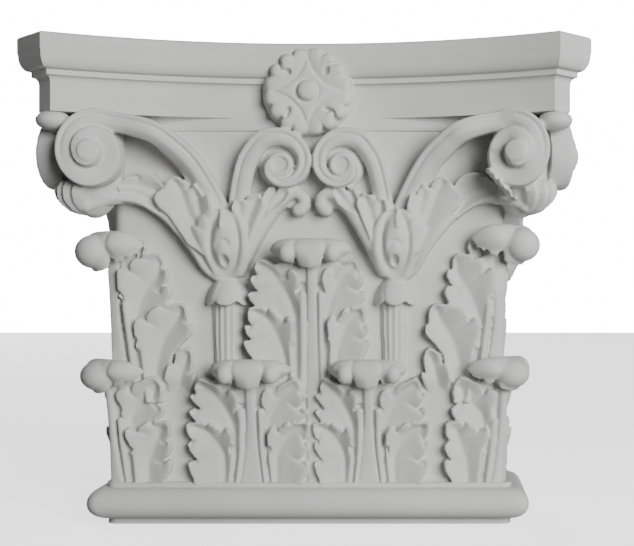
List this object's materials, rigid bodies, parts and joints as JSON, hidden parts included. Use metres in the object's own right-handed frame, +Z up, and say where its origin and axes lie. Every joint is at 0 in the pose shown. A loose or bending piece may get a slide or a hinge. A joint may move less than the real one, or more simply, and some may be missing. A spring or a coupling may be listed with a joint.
{
  "type": "pilaster capital",
  "caption": "Corinthian pilaster capital in cast plaster, with acanthus leaves, corner volutes, a rosette and a curved abacus, set against a wall on top of a flat shaft.",
  "frame": {"origin": "middle of the flat underside, where it sits on the pilaster's shaft", "axes": "+X to the right of a person who looks at the front, -Y out of the front, +Z up"},
  "size_m": [0.4138, 0.1364, 0.356],
  "materials": {
    "plaster": "matt, slightly mottled cast plaster"
  },
  "bodies": {
    "root": {"capital": "plaster"}
  },
  "joints": []
}
